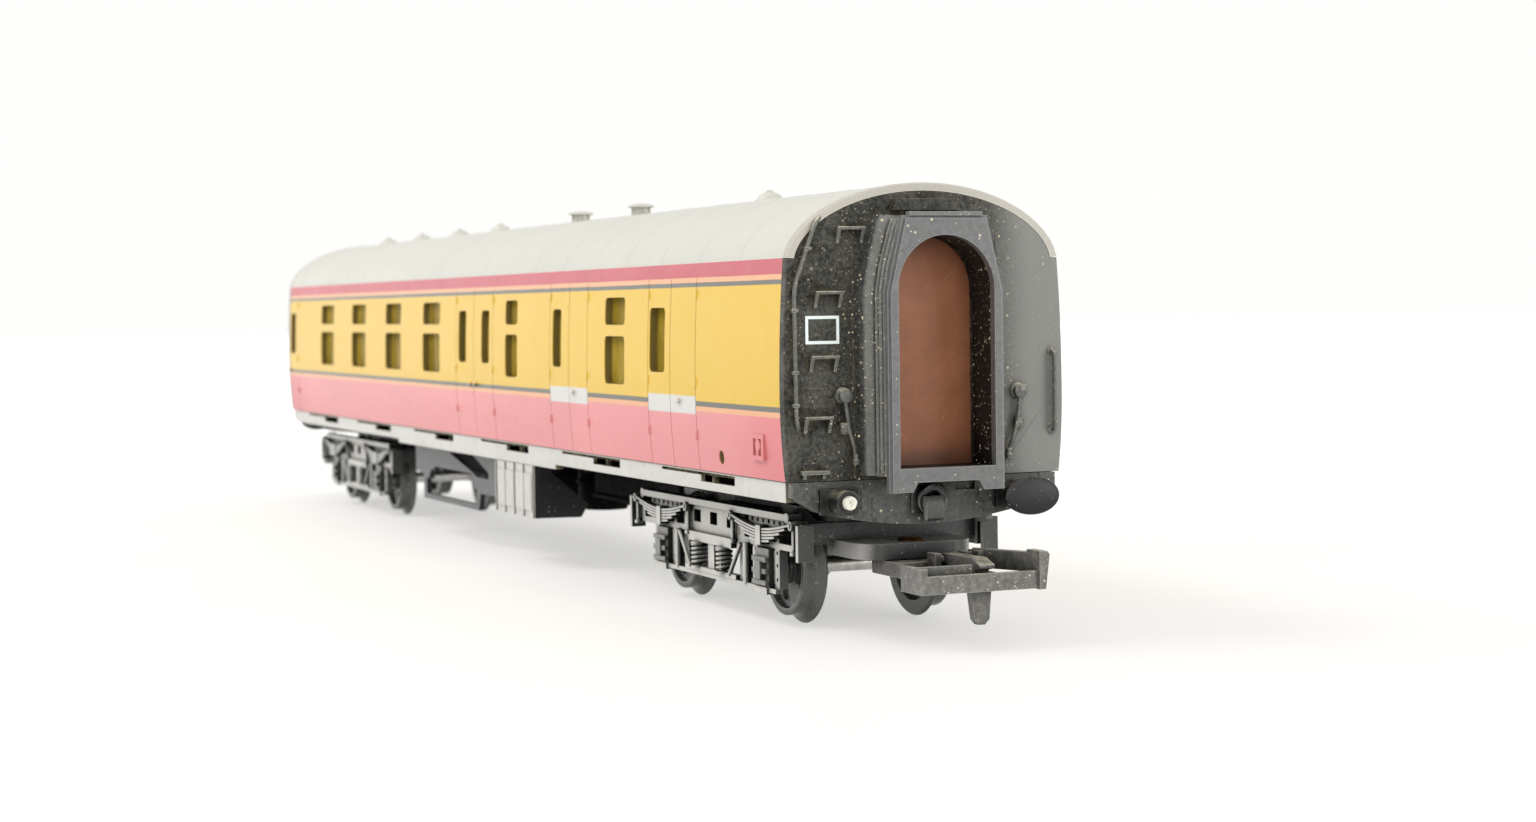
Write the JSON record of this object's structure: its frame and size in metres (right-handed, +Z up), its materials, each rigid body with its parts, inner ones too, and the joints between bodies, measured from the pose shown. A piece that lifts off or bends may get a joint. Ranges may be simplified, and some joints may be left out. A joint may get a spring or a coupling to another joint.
{
  "type": "model passenger coach",
  "caption": "Model brake corridor coach in crimson and cream: hollow body, grey roof, gangways, trussed underframe, swivelling bogies, turning wheels and hinged hook couplings.",
  "frame": {"origin": "centre of the bounding box on the plane that the wheel flanges' lowest points touch", "axes": "+X along the coach towards the van end, +Y across it away from the side whose van-end buffer has lost its head, +Z up"},
  "size_m": [0.2848, 0.037, 0.0543],
  "materials": {
    "body_paint": "satin, crimson below and cream between the linings",
    "roof_grey": "matt",
    "end_black": "satin, dusty",
    "underframe_black": "satin",
    "clear_glazing": "clear",
    "interior_tan": "matt",
    "door_brown": "satin",
    "fitting_paint": "satin, painted with the side behind it",
    "bright_steel": "brushed",
    "wheel_black": "satin, polished tread",
    "rivet_brass": "worn",
    "broken_white": "rough, stress-whitened"
  },
  "bodies": {
    "coach": {"body_shell": "body_paint", "roof_panel": "roof_grey", "roof_shell_vents": "roof_grey", "roof_fan_vents": "roof_grey", "glazing_near": "clear_glazing", "glazing_far": "clear_glazing", "interior_moulding": "interior_tan", "corridor_partition": "interior_tan", "ballast_weight": "bright_steel", "end_wall_front": "end_black", "end_wall_rear": "end_black", "gangway_bellows_front": "end_black", "gangway_bellows_rear": "end_black", "gangway_faceplate_front": "end_black", "gangway_faceplate_rear": "end_black", "gangway_door_front": "door_brown", "gangway_door_rear": "door_brown", "end_steps": "end_black", "end_pipework": "end_black", "end_handrails": "end_black", "side_fittings": "fitting_paint", "underframe_floor": "underframe_black", "solebars": "underframe_black", "headstock_front": "underframe_black", "headstock_rear": "underframe_black", "buffer_housings": "underframe_black", "buffer_rams": "underframe_black", "broken_buffer_shank": "broken_white", "draw_hooks": "underframe_black", "truss_frames": "underframe_black", "battery_boxes": "underframe_black", "vacuum_cylinders": "underframe_black", "centre_sills": "underframe_black", "bogie_pivot_pins": "bright_steel"},
    "bogie_front": {"bogie_frame_front": "underframe_black", "side_frames_front": "underframe_black", "leaf_springs_front": "underframe_black", "axleboxes_front": "underframe_black", "bolster_springs_front": "underframe_black", "brake_shoes_front": "underframe_black", "coupling_rivet_front": "rivet_brass"},
    "bogie_rear": {"bogie_frame_rear": "underframe_black", "side_frames_rear": "underframe_black", "leaf_springs_rear": "underframe_black", "axleboxes_rear": "underframe_black", "bolster_springs_rear": "underframe_black", "brake_shoes_rear": "underframe_black", "coupling_rivet_rear": "rivet_brass"},
    "wheelset_1": {"axle_1": "bright_steel", "wheels_1": "wheel_black"},
    "wheelset_2": {"axle_2": "bright_steel", "wheels_2": "wheel_black"},
    "wheelset_3": {"axle_3": "bright_steel", "wheels_3": "wheel_black"},
    "wheelset_4": {"axle_4": "bright_steel", "wheels_4": "wheel_black"},
    "coupling_front": {"coupling_bar_front": "underframe_black"},
    "hook_front": {"coupling_hook_front": "underframe_black"},
    "coupling_rear": {"coupling_bar_rear": "underframe_black"},
    "hook_rear": {"coupling_hook_rear": "underframe_black"}
  },
  "joints": [
    {"name": "bogie_swivel_front", "type": "hinge", "parent": "coach", "child": "bogie_front", "pos_m": [0.093, 0, 0.0132], "axis": [0, 0, 1], "range_deg": [-13, 13]},
    {"name": "wheelset_spin_1", "type": "hinge", "parent": "bogie_front", "child": "wheelset_1", "pos_m": [0.11, 0, 0.007], "axis": [0, 1, 0], "continuous": true},
    {"name": "wheelset_spin_2", "type": "hinge", "parent": "bogie_front", "child": "wheelset_2", "pos_m": [0.076, 0, 0.007], "axis": [0, 1, 0], "continuous": true},
    {"name": "coupling_swing_front", "type": "hinge", "parent": "bogie_front", "child": "coupling_front", "pos_m": [0.1245, 0, 0.0081], "axis": [0, 0, 1], "range_deg": [-12, 12]},
    {"name": "hook_lift_front", "type": "hinge", "parent": "coupling_front", "child": "hook_front", "pos_m": [0.1315, 0, 0.0091], "axis": [0, -1, 0], "range_deg": [0, 20]},
    {"name": "bogie_swivel_rear", "type": "hinge", "parent": "coach", "child": "bogie_rear", "pos_m": [-0.093, 0, 0.0132], "axis": [0, 0, 1], "range_deg": [-13, 13]},
    {"name": "wheelset_spin_3", "type": "hinge", "parent": "bogie_rear", "child": "wheelset_3", "pos_m": [-0.11, 0, 0.007], "axis": [0, 1, 0], "continuous": true},
    {"name": "wheelset_spin_4", "type": "hinge", "parent": "bogie_rear", "child": "wheelset_4", "pos_m": [-0.076, 0, 0.007], "axis": [0, 1, 0], "continuous": true},
    {"name": "coupling_swing_rear", "type": "hinge", "parent": "bogie_rear", "child": "coupling_rear", "pos_m": [-0.1245, 0, 0.0081], "axis": [0, 0, 1], "range_deg": [-12, 12]},
    {"name": "hook_lift_rear", "type": "hinge", "parent": "coupling_rear", "child": "hook_rear", "pos_m": [-0.1315, 0, 0.0091], "axis": [0, 1, 0], "range_deg": [0, 20]}
  ]
}
